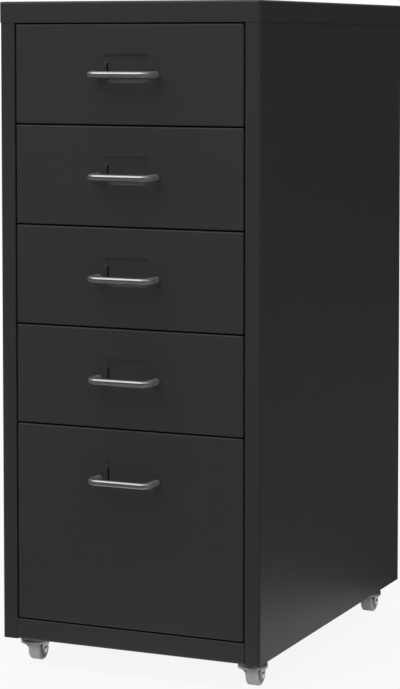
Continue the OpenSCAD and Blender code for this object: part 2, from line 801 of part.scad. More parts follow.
module caster_wheel(corner) {
    r = wheel_d / 2;
    color(wheel_grey) translate([corner_x(corner), corner_y(corner) + trail, axle_z])
        rotate([0, 90, 0]) difference() {
            rotate_extrude() {
                translate([0, -wheel_w / 2]) square([r - wheel_r, wheel_w]);
                translate([0, -wheel_w / 2 + wheel_r]) square([r, wheel_w - 2 * wheel_r]);
                for (side = [-1, 1]) translate([r - wheel_r, side * (wheel_w / 2 - wheel_r)])
                    circle(wheel_r);
            }
            cylinder(r = axle_d / 2 + axle_clear, h = wheel_w + past, center = true);
            for (side = [0, 1]) mirror([0, 0, side]) translate([0, 0, wheel_w / 2 - wheel_hollow])
                difference() {
                    cylinder(d = hollow_d, h = wheel_hollow + past);
                    translate([0, 0, -past]) cylinder(d = hub_d, h = wheel_hollow + 3 * past);
                }
        }
}

top_panel();
mirror([1, 0, 0]) side_panel();  // left_side_panel
side_panel();  // right_side_panel
back_panel();
base_panel();
mirror([1, 0, 0]) runners();  // left_runners
runners();  // right_runners
carcass_screws();
caster_screws();
caster_nuts();
caster_kingpins();
caster_balls();
for (i = [1 : drawer_count]) {
    drawer_front(i);
    tray(i);
    tray_back(i);
    drawer_rivets(i);
    handle(i);
    handle_screws(i);
}
for (corner = corners) {
    caster_plate(corner);
    caster_fork(corner);
    caster_axle(corner);
    caster_wheel(corner);
}
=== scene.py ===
import json
import math

import bmesh
import bpy
from mathutils import Matrix, Vector


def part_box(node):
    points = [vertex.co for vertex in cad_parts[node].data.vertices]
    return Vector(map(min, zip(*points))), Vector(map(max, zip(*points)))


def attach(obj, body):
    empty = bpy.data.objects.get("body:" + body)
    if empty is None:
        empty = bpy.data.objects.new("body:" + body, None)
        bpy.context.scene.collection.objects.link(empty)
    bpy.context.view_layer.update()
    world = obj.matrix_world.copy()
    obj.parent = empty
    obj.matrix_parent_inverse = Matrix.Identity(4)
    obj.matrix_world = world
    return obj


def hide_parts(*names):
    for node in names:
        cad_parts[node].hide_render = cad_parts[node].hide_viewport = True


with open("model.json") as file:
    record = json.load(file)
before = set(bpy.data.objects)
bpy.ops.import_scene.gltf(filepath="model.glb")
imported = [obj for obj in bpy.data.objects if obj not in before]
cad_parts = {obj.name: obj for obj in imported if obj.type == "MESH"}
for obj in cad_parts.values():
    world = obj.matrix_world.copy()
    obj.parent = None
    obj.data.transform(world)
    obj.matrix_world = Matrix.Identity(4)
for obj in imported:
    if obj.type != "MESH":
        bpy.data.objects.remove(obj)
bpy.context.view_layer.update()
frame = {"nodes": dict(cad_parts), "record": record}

# Camera: place in metres, aim in degrees, lens in millimetres, shift in picture heights
CAMERA_AT = (1.0107, -2.2898, 0.6444)
CAMERA_TURN = 23.978
CAMERA_DIP = 3.8
CAMERA_LENS = 121.925
CAMERA_SHIFT = -0.2132

# Studio: sizes in metres, and a strength of 1 is white
FLOOR_RADIUS = 3.0
ROUND_STEPS = 96
FLOOR_PALE = (0.88, 0.88, 0.88, 1.0)
FLOOR_GLOW = 0.9
GLOW_FROM = 0.8
FILL = 0.55
WHITE = (1.0, 1.0, 1.0, 1.0)
LIT_FLOOR = 0.3
ROOM_HEIGHT = 2.0
ROOM_LIFT = 0.002
DIM_FLOOR = (0.22, 0.22, 0.22, 1.0)
DIM_WALL = (0.05, 0.05, 0.05, 1.0)
LAMP_AT = (-0.7, -1.7, 2.3)
LAMP_AIM = (0.0, 0.0, 0.35)
LAMP_SIZE = (2.7, 2.0)
LAMP_RADIANCE = 1.6

# Maps that finishes follow, with their units per millimetre or millimetres per unit
SIDE_MAP = "Side of the fork"
SIDE_MAP_MM = 10
ROD_MAP = "Along the rod"
ROD_MAP_PER_MM = 0.01
# Ring of painted shade round the axle's heads on the side map, and the share of the colour that it
# leaves
SHADE_RING_INNER = 0.34
SHADE_RING_OUTER = 0.5
SHADE_RING_TONE = 0.3
SHADE_RING_INNER_EDGE = 0.03
SHADE_RING_OUTER_EDGE = (-0.08, 0.06)
# The pull's bar is polished best, up to a place on its map where the bends take over
BAR_METALLIC = 0.86
LEG_METALLIC = 0.45
BAR_ENDS = 0.27
LEG_BEGINS = 0.35
DUST_COLOUR = (0.3, 0.29, 0.27, 1.0)

MM = 0.001
WELD = 1e-6
DRAWERS = 5
CORNERS = ("front_left", "front_right", "rear_left", "rear_right")
# Degrees past which an edge is bevelled, and shaded sharp
BEVEL_ANGLE = 40.0
SMOOTH_ANGLE = 35.0

# Drawer faces, in millimetres
DRAWER_SHEET = 0.7
FOLD_DEPTH = 12.0
FOLD_RADIUS = 1.4
SUPPORT = 0.9
POCKET_DROP = 30.8
POCKET_HEIGHT = 25.8
POCKET_DEPTH = 1.6
SLIT_DROP = 8.2
SLIT_IN = 22.2
SLIT_OUT = 22.9
BEAD_HALF = 1.45
BEAD_DROP = 2.5
BEAD_HEIGHT = 0.58
SIDE_BEAD = 24.35
LOWER_BEAD_END = 19.5
# Columns and rows of the mesh round the pocket, and how far each column sinks beside it
POCKET_COLUMNS = (19.4, 21.1, SLIT_IN, SLIT_OUT, 23.3, 24.0, 24.7, 25.8, 27.4)
SINKING_COLUMNS = ((SLIT_OUT, 0.86), (23.3, 0.74), (24.0, 0.46), (24.7, 0.25), (25.8, 0.06))
POCKET_TOP_ROWS = (1.8, 0.6, -0.3, -1.5)
SLOPE_ROW = -0.3
SLIT_TOP_ROWS = (2.6, 0.5, 0.0, -0.8, -2.2)
POCKET_BOTTOM_ROWS = (2.4, 1.2, 0.35, -0.1, -0.6)
BEAD_ROWS = (1.0, 0.5, -0.5, -1.0)
UNDER_BEAD = 1.2
# The tall drawer's face is stretched from here below the pocket
STRETCH_BELOW = 10.0

# Pulls, in millimetres
ROD_SIDES = 36
LEG_STEPS = 5
BAR_STEPS = 8
ROD_BEND = 8.0
BEND_STEPS = 16
ROD_CHAMFER = 0.4

# Casters, in millimetres
WHEEL_SIDES = 72
TREAD_RADIUS = 2.0
PARTING_HALF = 0.35
PARTING_TAPER = 0.99
RIM_LAND = 0.9
HOLLOW_SLOPE = 0.3
HOLLOW_DEPTH = 1.8
HUB_RADIUS = 4.2
HUB_BORE = 2.05
BORE_DEPTH = 2.0
WHEEL_EDGE = 0.2
FORK_SHEET = 1.3
CUP_SIDES = 80
CUP_HEIGHT = 5.8
CUP_SHOULDER = 4.0
PIN_HOLE = 3.08
OPENING_FROM = 3.0
OPENING_DROP = 0.2
LEG_CLEARANCE = 0.6
LEG_STEP = 4.0
LEG_FRONT = 5.0
KNEE_CLEARANCE = 0.15
KNEE_BEND = 0.9
# A little under 1, so that the foot's two rounded corners don't meet in a point
FOOT_ROUNDING = 0.998
CUP_EDGE = 0.2
LEG_EDGE = 0.22


def clear_selection():
    bpy.ops.object.select_all(action="DESELECT")


# Shader building blocks

def new_group(name, inputs, outputs):
    """A shader node group with float and colour sockets, and its two end nodes."""
    group = bpy.data.node_groups.new(name, "ShaderNodeTree")
    for label, kind, value in inputs:
        socket = group.interface.new_socket(label, in_out="INPUT", socket_type=kind)
        socket.default_value = value
    for label, kind in outputs:
        group.interface.new_socket(label, in_out="OUTPUT", socket_type=kind)
    start = group.nodes.new("NodeGroupInput")
    end = group.nodes.new("NodeGroupOutput")
    return group, start, end


def noise(tree, coordinates, scale, detail=2.0, roughness=0.5):
    node = tree.nodes.new("ShaderNodeTexNoise")
    node.inputs["Scale"].default_value = scale
    node.inputs["Detail"].default_value = detail
    node.inputs["Roughness"].default_value = roughness
    tree.links.new(coordinates, node.inputs["Vector"])
    return node.outputs["Fac"]


def remap(tree, value, low, high, to_low, to_high):
    node = tree.nodes.new("ShaderNodeMapRange")
    tree.links.new(value, node.inputs["Value"])
    for label, number in (
            ("From Min", low), ("From Max", high), ("To Min", to_low), ("To Max", to_high)):
        if isinstance(number, (int, float)):
            node.inputs[label].default_value = number
        else:
            tree.links.new(number, node.inputs[label])
    return node.outputs["Result"]


def maths(tree, operation, first, second):
    node = tree.nodes.new("ShaderNodeMath")
    node.operation = operation
    for socket, value in zip(node.inputs, (first, second)):
        if isinstance(value, (int, float)):
            socket.default_value = value
        else:
            tree.links.new(value, socket)
    return node.outputs[0]


def scale_colour(tree, colour, factor):
    node = tree.nodes.new("ShaderNodeVectorMath")
    node.operation = "SCALE"
    tree.links.new(colour, node.inputs[0])
    tree.links.new(factor, node.inputs["Scale"])
    return node.outputs[0]


def mix_colour(tree, factor, first, second):
    node = tree.nodes.new("ShaderNodeMix")
    node.data_type = "RGBA"
    tree.links.new(factor, node.inputs["Factor"])
    for label, value in (("A", first), ("B", second)):
        socket = [s for s in node.inputs if s.name == label and s.type == "RGBA"][0]
        if isinstance(value, tuple):
            socket.default_value = value
        else:
            tree.links.new(value, socket)
    return [s for s in node.outputs if s.type == "RGBA"][0]


FINISH_OUTPUTS = [
    ("Colour", "NodeSocketColor"), ("Roughness", "NodeSocketFloat"), ("Height", "NodeSocketFloat")]


def powder_coat_group():
    """Powder coat: fine orange peel, faint clouds in the tone and a little dust on level faces."""
    group, start, end = new_group(
        "Powder coat",
        [("Colour", "NodeSocketColor", WHITE), ("Clouds", "NodeSocketFloat", 0.012),
         ("Dust", "NodeSocketFloat", 0.02), ("Sheen roughness", "NodeSocketFloat", 0.45)],
        FINISH_OUTPUTS)
    place = group.nodes.new("ShaderNodeTexCoord").outputs["Object"]
    clouds = noise(group, place, 7.0, 3.0)
    low = maths(group, "SUBTRACT", 1.0, start.outputs["Clouds"])
    high = maths(group, "ADD", 1.0, start.outputs["Clouds"])
    tone = remap(group, clouds, 0.3, 0.7, low, high)
    coated = scale_colour(group, start.outputs["Colour"], tone)
    geometry = group.nodes.new("ShaderNodeNewGeometry")
    split = group.nodes.new("ShaderNodeSeparateXYZ")
    group.links.new(geometry.outputs["Normal"], split.inputs[0])
    level = remap(group, split.outputs["Z"], 0.6, 1.0, 0.0, start.outputs["Dust"])
    specks = remap(group, noise(group, place, 60.0, 5.0, 0.7), 0.4, 0.75, 0.2, 1.0)
    dust = maths(group, "MULTIPLY", level, specks)
    dusty = mix_colour(group, dust, coated, DUST_COLOUR)
    group.links.new(dusty, end.inputs["Colour"])
    wander = remap(group, noise(group, place, 35.0, 2.0), 0.3, 0.7, -0.012, 0.012)
    roughness = maths(group, "ADD", start.outputs["Sheen roughness"], wander)
    group.links.new(roughness, end.inputs["Roughness"])
    group.links.new(noise(group, place, 1100.0, 2.0), end.inputs["Height"])
    return group


def zinc_group():
    """Zinc plate: soft crystals, cloudy tarnish and a fine grain."""
    group, start, end = new_group(
        "Zinc plate",
        [("Colour", "NodeSocketColor", WHITE), ("Crystal scale", "NodeSocketFloat", 260.0),
         ("Crystals", "NodeSocketFloat", 0.1), ("Tarnish", "NodeSocketFloat", 0.25),
         ("Base roughness", "NodeSocketFloat", 0.36)],
        FINISH_OUTPUTS)
    place = group.nodes.new("ShaderNodeTexCoord").outputs["Object"]
    crystals = group.nodes.new("ShaderNodeTexVoronoi")
    group.links.new(place, crystals.inputs["Vector"])
    group.links.new(start.outputs["Crystal scale"], crystals.inputs["Scale"])
    grey = group.nodes.new("ShaderNodeRGBToBW")
    group.links.new(crystals.outputs["Color"], grey.inputs[0])
    faint = maths(group, "SUBTRACT", 1.0, start.outputs["Crystals"])
    crystal_tone = remap(group, grey.outputs[0], 0.2, 0.8, faint, 1.0)
    lowest = maths(group, "SUBTRACT", 1.0, start.outputs["Tarnish"])
    cloud_tone = remap(group, noise(group, place, 90.0, 4.0, 0.6), 0.35, 0.65, lowest, 1.0)
    tone = maths(group, "MULTIPLY", crystal_tone, cloud_tone)
    group.links.new(scale_colour(group, start.outputs["Colour"], tone), end.inputs["Colour"])
    wander = maths(group, "MULTIPLY", remap(group, grey.outputs[0], 0.2, 0.8, -0.5, 0.7),
                   start.outputs["Crystals"])
    roughness = maths(group, "ADD", start.outputs["Base roughness"], wander)
    group.links.new(roughness, end.inputs["Roughness"])
    group.links.new(noise(group, place, 1600.0, 3.0), end.inputs["Height"])
    return group


def moulded_group():
    """Moulded plastic: mottled tone and a fine spark-eroded skin."""
    group, start, end = new_group(
        "Moulded plastic",
        [("Colour", "NodeSocketColor", WHITE), ("Mottle", "NodeSocketFloat", 0.08),
         ("Skin roughness", "NodeSocketFloat", 0.5)],
        FINISH_OUTPUTS)
    place = group.nodes.new("ShaderNodeTexCoord").outputs["Object"]
    low = maths(group, "SUBTRACT", 1.0, start.outputs["Mottle"])
    high = maths(group, "ADD", 1.0, start.outputs["Mottle"])
    tone = remap(group, noise(group, place, 140.0, 4.0, 0.6), 0.3, 0.7, low, high)
    group.links.new(scale_colour(group, start.outputs["Colour"], tone), end.inputs["Colour"])
    wander = remap(group, noise(group, place, 300.0, 2.0), 0.3, 0.7, -0.06, 0.06)
    roughness = maths(group, "ADD", start.outputs["Skin roughness"], wander)
    group.links.new(roughness, end.inputs["Roughness"])
    group.links.new(noise(group, place, 2400.0, 2.0), end.inputs["Height"])
    return group


def painted_shade_ring(tree, colour):
    """Darkens the colour in a ring round the middle of the piece's side map, as painted shade."""
    flat = tree.nodes.new("ShaderNodeUVMap")
    flat.uv_map = SIDE_MAP
    length = tree.nodes.new("ShaderNodeVectorMath")
    length.operation = "LENGTH"
    tree.links.new(flat.outputs[0], length.inputs[0])
    reach = length.outputs["Value"]
    past_inner = remap(
        tree, reach, SHADE_RING_INNER - SHADE_RING_INNER_EDGE, SHADE_RING_INNER + SHADE_RING_INNER_EDGE, 0.0, 1.0)
    start, end = (SHADE_RING_OUTER + edge for edge in SHADE_RING_OUTER_EDGE)
    short_of_outer = remap(tree, reach, start, end, 1.0, 0.0)
    ring = maths(tree, "MULTIPLY", past_inner, short_of_outer)
    return scale_colour(tree, colour, remap(tree, ring, 0.0, 1.0, 1.0, SHADE_RING_TONE))


def material(name, group, settings, metallic, specular, bump):
    """A Principled material whose colour, roughness and bump come from one of the groups."""
    made = bpy.data.materials.new(name)
    made.use_nodes = True
    tree = made.node_tree
    shader = tree.nodes["Principled BSDF"]
    finish = tree.nodes.new("ShaderNodeGroup")
    finish.node_tree = group
    for label, value in settings.items():
        finish.inputs[label].default_value = value
    lift = tree.nodes.new("ShaderNodeBump")
    lift.inputs["Strength"].default_value = 1.0
    lift.inputs["Distance"].default_value = bump
    tree.links.new(finish.outputs["Height"], lift.inputs["Height"])
    tree.links.new(finish.outputs["Colour"], shader.inputs["Base Color"])
    tree.links.new(finish.outputs["Roughness"], shader.inputs["Roughness"])
    tree.links.new(lift.outputs["Normal"], shader.inputs["Normal"])
    shader.inputs["Metallic"].default_value = metallic
    shader.inputs["Specular IOR Level"].default_value = specular
    return made


powder_coat = powder_coat_group()
zinc = zinc_group()
moulded = moulded_group()
finishes = {
    "carcass_paint": material(
        "Carcass powder coat", powder_coat,
        {"Colour": (0.032, 0.032, 0.0325, 1.0)}, metallic=0.0, specular=0.3, bump=0.00002),
    "drawer_paint": material(
        "Drawer powder coat", powder_coat,
        {"Colour": (0.033, 0.033, 0.0335, 1.0)}, metallic=0.0, specular=0.3, bump=0.00002),
    "runner_zinc": material(
        "Runner zinc", zinc,
        {"Colour": (0.5, 0.51, 0.52, 1.0), "Crystal scale": 120.0},
        metallic=1.0, specular=0.5, bump=0.00001),
    "fastener_zinc": material(
        "Fastener zinc", zinc,
        {"Colour": (0.58, 0.58, 0.58, 1.0), "Crystal scale": 500.0, "Tarnish": 0.15,
         "Base roughness": 0.3},
        metallic=1.0, specular=0.5, bump=0.000005),
    "handle_plated": material(
        "Handle plate", zinc,
        {"Colour": (0.36, 0.36, 0.36, 1.0), "Crystal scale": 700.0, "Crystals": 0.01,
         "Tarnish": 0.06, "Base roughness": 0.22},
        metallic=BAR_METALLIC, specular=0.5, bump=0.0000001),
    "caster_zinc": material(
        "Caster zinc", zinc,
        {"Colour": (0.42, 0.42, 0.41, 1.0), "Crystal scale": 300.0, "Tarnish": 0.3,
         "Base roughness": 0.34},
        metallic=0.8, specular=0.5, bump=0.00001),
    "wheel_grey": material(
        "Wheel plastic", moulded,
        {"Colour": (0.64, 0.64, 0.63, 1.0)}, metallic=0.0, specular=0.4, bump=0.00001),
}


def finish_solids():
    """Gives each solid of the frame the finish that the record names for it."""
    for subpart in frame["record"]["subparts"]:
        mesh = frame["nodes"][subpart["node"]].data
        mesh.materials.clear()
        mesh.materials.append(finishes[subpart["material_slot"]])


def polish_rod(finish):
    """Gloss that stretches along the rod, as it is polished round and round, its bar best."""
    tree = finish.node_tree
    shader = tree.nodes["Principled BSDF"]
    along = tree.nodes.new("ShaderNodeTangent")
    along.direction_type = "UV_MAP"
    along.uv_map = ROD_MAP
    tree.links.new(along.outputs[0], shader.inputs["Tangent"])
    shader.inputs["Anisotropic"].default_value = 0.9
    flat = tree.nodes.new("ShaderNodeUVMap")
    flat.uv_map = ROD_MAP
    split = tree.nodes.new("ShaderNodeSeparateXYZ")
    tree.links.new(flat.outputs[0], split.inputs[0])
    from_middle = maths(tree, "ABSOLUTE", split.outputs["X"], 0.0)
    polish = remap(tree, from_middle, BAR_ENDS, LEG_BEGINS, BAR_METALLIC, LEG_METALLIC)
    tree.links.new(polish, shader.inputs["Metallic"])


def fork_finish_with_painted_shade():
    """The forks' zinc, with a dark ring of painted shade round the axle's heads."""
    finish = finishes["caster_zinc"].copy()
    finish.name = "Fork zinc"
    tree = finish.node_tree
    shader = tree.nodes["Principled BSDF"]
    colour = shader.inputs["Base Color"].links[0].from_socket
    # Painted shade: the fork's colour is darkened in a ring round each axle head
    tree.links.new(painted_shade_ring(tree, colour), shader.inputs["Base Color"])
    return finish


finish_solids()
polish_rod(finishes["handle_plated"])
fork_finish = fork_finish_with_painted_shade()


# Modelling by hand, in millimetres

def activate(piece):
    clear_selection()
    piece.select_set(True)
    bpy.context.view_layer.objects.active = piece


def start_edit(piece):
    activate(piece)
    bpy.ops.object.mode_set(mode="EDIT")


def end_edit():
    bpy.ops.object.mode_set(mode="OBJECT")


def middle(member):
    """Where a vertex, edge or face lies, in millimetres."""
    if isinstance(member, bmesh.types.BMVert):
        return member.co / MM
    points = [v.co for v in member.verts]
    return sum(points, Vector()) / len(points) / MM


def everywhere(place):
    return True


def pick(piece, kind, test=everywhere, open_only=False):
    """Selects just the vertices, edges or faces whose middle passes the test."""
    bpy.ops.mesh.select_mode(type=kind)
    bpy.ops.mesh.select_all(action="DESELECT")
    shape = bmesh.from_edit_mesh(piece.data)
    for member in {"VERT": shape.verts, "EDGE": shape.edges, "FACE": shape.faces}[kind]:
        if (not open_only or member.is_boundary) and test(middle(member)):
            member.select_set(True)
    shape.select_flush_mode()
    bmesh.update_edit_mesh(piece.data)


def cut(piece, axis, places, test=everywhere):
    """Cuts the faces that pass the test along planes across the axis."""
    for place in places:
        pick(piece, "FACE", test)
        spot, normal = Vector(), Vector()
        spot[axis], normal[axis] = place * MM, 1.0
        bpy.ops.mesh.bisect(plane_co=spot, plane_no=normal, threshold=WELD)


def push(*step):
    """Moves what is selected, in millimetres."""
    bpy.ops.transform.translate(value=Vector(step) * MM)


def extrude(*step):
    """Extrudes what is selected, in millimetres."""
    bpy.ops.mesh.extrude_region_move(TRANSFORM_OT_translate={"value": Vector(step) * MM})


def near(value, target, reach=0.02):
    return abs(value - target) < reach


def face_outwards(piece):
    pick(piece, "FACE")
    bpy.ops.mesh.normals_make_consistent(inside=False)


def apply_modifier(piece, name, kind, **settings):
    activate(piece)
    modifier = piece.modifiers.new(name, kind)
    for label, value in settings.items():
        setattr(modifier, label, value)
    bpy.ops.object.modifier_apply(modifier=modifier.name)


def add_bevel(piece, width):
    apply_modifier(
        piece, "Soft edges", "BEVEL", width=width * MM, segments=2, limit_method="ANGLE",
        angle_limit=math.radians(BEVEL_ANGLE))


def add_thickness(piece, thickness, side, even):
    """Gives a sheet its wall. A side of -1 is inwards from the faces, and 1 is outwards."""
    apply_modifier(
        piece, "Sheet", "SOLIDIFY", thickness=thickness * MM, offset=side, use_even_offset=even)


def settle(piece, name):
    """Names a new primitive and puts its place into its mesh."""
    piece.name = piece.data.name = name
    activate(piece)
    bpy.ops.object.transform_apply(location=True, rotation=True, scale=True)
    return piece


def copied(piece, name, *step):
    """A copy with its own mesh, moved by a step in millimetres."""
    twin = piece.copy()
    twin.data = piece.data.copy()
    twin.name = twin.data.name = name
    bpy.context.scene.collection.objects.link(twin)
    twin.data.transform(Matrix.Translation(Vector(step) * MM))
    return twin


def dress(piece, body, node, slot, finish=None):
    """Shades the piece, gives it its finish and puts it in the node's place."""
    activate(piece)
    bpy.ops.object.shade_smooth_by_angle(angle=math.radians(SMOOTH_ANGLE))
    piece.data.materials.clear()
    piece.data.materials.append(finish or finishes[slot])
    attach(piece, body)
    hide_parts(node)


def box_mm(node):
    low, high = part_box(node)
    return low / MM, high / MM


# Pressed drawer faces

def pressed_face():
    """A small drawer's face: folded edges, and the label pocket with its slits and beads."""
    low, high = box_mm("drawer_1_front")
    face_y = high.y - FOLD_DEPTH
    half, top, bottom = high.x, high.z, low.z
    bpy.ops.mesh.primitive_plane_add(
        size=1, location=Vector((0, face_y, (top + bottom) / 2)) * MM,
        rotation=(math.pi / 2, 0, 0))
    face = bpy.context.object
    face.scale = (2 * half * MM, (top - bottom) * MM, 1)
    settle(face, "drawer_1_pressed_face")
    start_edit(face)
    # Round corners and folded edges
    pick(face, "VERT")
    bpy.ops.mesh.bevel(offset=(FOLD_RADIUS + 0.1) * MM, segments=3, affect="VERTICES")
    pick(face, "EDGE", open_only=True)
    extrude(0, FOLD_DEPTH, 0)
    pick(face, "EDGE", lambda p: near(p.y, face_y))
    bpy.ops.mesh.bevel(offset=FOLD_RADIUS * MM, segments=3, affect="EDGES")
    inset = FOLD_RADIUS + SUPPORT
    cut(face, 0, (-half + inset, half - inset))
    cut(face, 2, (bottom + inset, top - inset))
    cut(face, 1, (face_y + inset,))
    # Lines of the label pocket
    pocket_top, pocket_bottom = top - POCKET_DROP, top - POCKET_DROP - POCKET_HEIGHT
    slit_top, bead_z = pocket_top - SLIT_DROP, pocket_bottom - BEAD_DROP
    for side in (-1, 1):
        cut(face, 0, [side * x for x in POCKET_COLUMNS])
    cut(face, 2, [pocket_top + step for step in POCKET_TOP_ROWS])
    cut(face, 2, [slit_top + step for step in SLIT_TOP_ROWS])
    cut(face, 2, [pocket_bottom + step for step in POCKET_BOTTOM_ROWS])
    cut(face, 2, [bead_z + share * BEAD_HALF for share in BEAD_ROWS])
    cut(face, 2, [bead_z - BEAD_HALF - UNDER_BEAD])
    # Pocket floor, and sides that slope in softly above the slits
    floor_top, floor_bottom = pocket_top - 0.2, pocket_bottom + 0.3
    pick(face, "VERT", lambda p: abs(p.x) < SLIT_IN + 0.05 and floor_bottom < p.z < floor_top)
    push(0, POCKET_DEPTH, 0)
    for x, share in SINKING_COLUMNS:
        pick(face, "VERT", lambda p: near(abs(p.x), x) and slit_top + 2 < p.z < floor_top)
        push(0, POCKET_DEPTH * share, 0)
        pick(face, "VERT", lambda p: near(abs(p.x), x) and near(p.z, slit_top + 0.5))
        push(0, POCKET_DEPTH * share * 0.3, 0)
    # The pocket's upper edge slopes, half way down at its middle row
    pick(face, "VERT", lambda p: near(p.z, pocket_top + SLOPE_ROW))
    bpy.ops.transform.resize(value=(1, 0.5, 1), center_override=(0, face_y * MM, 0))
    # Slits
    pick(face, "FACE", lambda p: SLIT_IN < abs(p.x) < SLIT_OUT and floor_bottom < p.z < slit_top)
    bpy.ops.mesh.delete(type="FACE")
    # Beads beside and below the card
    pick(face, "VERT", lambda p: near(abs(p.x), SIDE_BEAD, 0.5)
         and pocket_bottom + 1 < p.z < slit_top - 1)
    push(0, -BEAD_HEIGHT, 0)
    pick(face, "VERT", lambda p: abs(p.x) < LOWER_BEAD_END and near(p.z, bead_z, 0.6 * BEAD_HALF))
    push(0, -BEAD_HEIGHT, 0)
    face_outwards(face)
    end_edit()
    apply_modifier(face, "Pressed radii", "SUBSURF", levels=2, render_levels=2)
    add_thickness(face, DRAWER_SHEET, -1.0, False)
    return face


def make_drawer_faces():
    first = pressed_face()
    low, high = box_mm("drawer_1_front")
    faces = [first]
    for number in range(2, DRAWERS + 1):
        step = box_mm(f"drawer_{number}_front")[1].z - high.z
        faces.append(copied(first, f"drawer_{number}_pressed_face", 0, 0, step))
    # The tall drawer's face is longer below the pocket
    tall = faces[-1]
    tall_low, tall_high = box_mm(f"drawer_{DRAWERS}_front")
    start_edit(tall)
    below = tall_high.z - POCKET_DROP - POCKET_HEIGHT - STRETCH_BELOW
    pick(tall, "VERT", lambda p: p.z < below)
    push(0, 0, (tall_low.z - tall_high.z) - (low.z - high.z))
    end_edit()
    for number, face in enumerate(faces, 1):
        dress(face, f"drawer_{number}", f"drawer_{number}_front", "drawer_paint")


# Bent-rod pulls

def bent_rod():
    """A round rod with two legs and a straight bar, chamfered where each leg meets the face."""
    low, high = box_mm("drawer_1_handle")
    radius = (high.z - low.z) / 2
    root_y, bar_y = high.y, low.y + radius
    leg_x, z = high.x - radius, (high.z + low.z) / 2
    leg, half_bar = root_y - bar_y - ROD_BEND, leg_x - ROD_BEND
    bpy.ops.mesh.primitive_circle_add(
        vertices=ROD_SIDES, radius=radius * MM, fill_type="NOTHING",
        location=Vector((-leg_x, root_y, z)) * MM, rotation=(math.pi / 2, 0, 0))
    rod = settle(bpy.context.object, "drawer_1_pull")
    start_edit(rod)
    pick(rod, "EDGE")
    for number in range(LEG_STEPS):
        extrude(0, -leg / LEG_STEPS, 0)
    bpy.ops.mesh.spin(steps=BEND_STEPS, angle=-math.pi / 2, axis=(0, 0, 1),
                      center=Vector((-half_bar, root_y - leg, z)) * MM)
    for number in range(BAR_STEPS):
        extrude(2 * half_bar / BAR_STEPS, 0, 0)
    bpy.ops.mesh.spin(steps=BEND_STEPS, angle=-math.pi / 2, axis=(0, 0, 1),
                      center=Vector((half_bar, root_y - leg, z)) * MM)
    for number in range(LEG_STEPS):
        extrude(0, leg / LEG_STEPS, 0)
    for side in (-1, 1):
        pick(rod, "EDGE", lambda p: p.x * side > 0, open_only=True)
        bpy.ops.mesh.edge_face_add()
    pick(rod, "VERT")
    bpy.ops.mesh.remove_doubles(threshold=WELD)
    face_outwards(rod)
    pick(rod, "EDGE", lambda p: near(p.y, root_y))
    bpy.ops.mesh.bevel(offset=ROD_CHAMFER * MM, segments=2, affect="EDGES")
    end_edit()
    # The finish follows the rod
    along = rod.data.uv_layers.new(name=ROD_MAP)
    for loop in rod.data.loops:
        p = rod.data.vertices[loop.vertex_index].co / MM
        past_bar, past_bend = abs(p.x) - half_bar, p.y - (root_y - leg)
        if past_bar <= 0:
            length = abs(p.x)
        elif past_bend <= 0:
            length = half_bar + ROD_BEND * math.atan2(past_bar, -past_bend)
        else:
            length = half_bar + ROD_BEND * math.pi / 2 + past_bend
        along.data[loop.index].uv = (
            math.copysign(length, p.x) * ROD_MAP_PER_MM, (p.z - z) * ROD_MAP_PER_MM)
    return rod


def make_pulls():
    first = bent_rod()
    height = box_mm("drawer_1_handle")[1].z
    for number in range(1, DRAWERS + 1):
        step = box_mm(f"drawer_{number}_handle")[1].z - height
        pull = copied(first, f"drawer_{number}_pull", 0, 0, step) if number > 1 else first
        dress(pull, f"drawer_{number}", f"drawer_{number}_handle", "handle_plated")


# Casters

def moulded_wheel():
    """A wheel: a round-edged tread with a parting line, a hollow in each side and a raised hub."""
    low, high = box_mm("caster_front_left_wheel")
    centre, radius, width = (low + high) / 2, (high.z - low.z) / 2, high.x - low.x
    bpy.ops.mesh.primitive_cylinder_add(
        vertices=WHEEL_SIDES, radius=radius * MM, depth=width * MM, end_fill_type="NGON",
        location=centre * MM, rotation=(0, math.pi / 2, 0))
    wheel = settle(bpy.context.object, "front_left_moulded_wheel")

    def off_axle(p):
        return (p - centre).yz.length

    start_edit(wheel)
    pick(wheel, "EDGE", lambda p: near(abs(p.x - centre.x), width / 2)
         and off_axle(p) > radius - 0.1)
    bpy.ops.mesh.bevel(offset=TREAD_RADIUS * MM, segments=6, affect="EDGES")
    # Parting line round the tread
    cut(wheel, 0, (centre.x - PARTING_HALF, centre.x, centre.x + PARTING_HALF))
    pick(wheel, "VERT", lambda p: near(p.x, centre.x) and off_axle(p) > radius - 1)
    bpy.ops.transform.resize(
        value=(1, PARTING_TAPER, PARTING_TAPER), center_override=centre * MM)
    # Rim, hollow and hub of each side
    rim = radius - TREAD_RADIUS
    land = rim - RIM_LAND
    for side in (-1, 1):
        pick(wheel, "FACE", lambda p: near(p.x - centre.x, side * width / 2) and off_axle(p) < 1)
        reach = rim
        for inner, depth in (
                (land, 0), (land - HOLLOW_SLOPE, -HOLLOW_DEPTH), (HUB_RADIUS + HOLLOW_SLOPE, 0),
                (HUB_RADIUS, HOLLOW_DEPTH), (HUB_BORE, 0)):
            bpy.ops.mesh.inset(thickness=(reach - inner) * MM, depth=depth * MM)
            reach = inner
        extrude(-side * BORE_DEPTH, 0, 0)
    face_outwards(wheel)
    end_edit()
    add_bevel(wheel, WHEEL_EDGE)
    return wheel


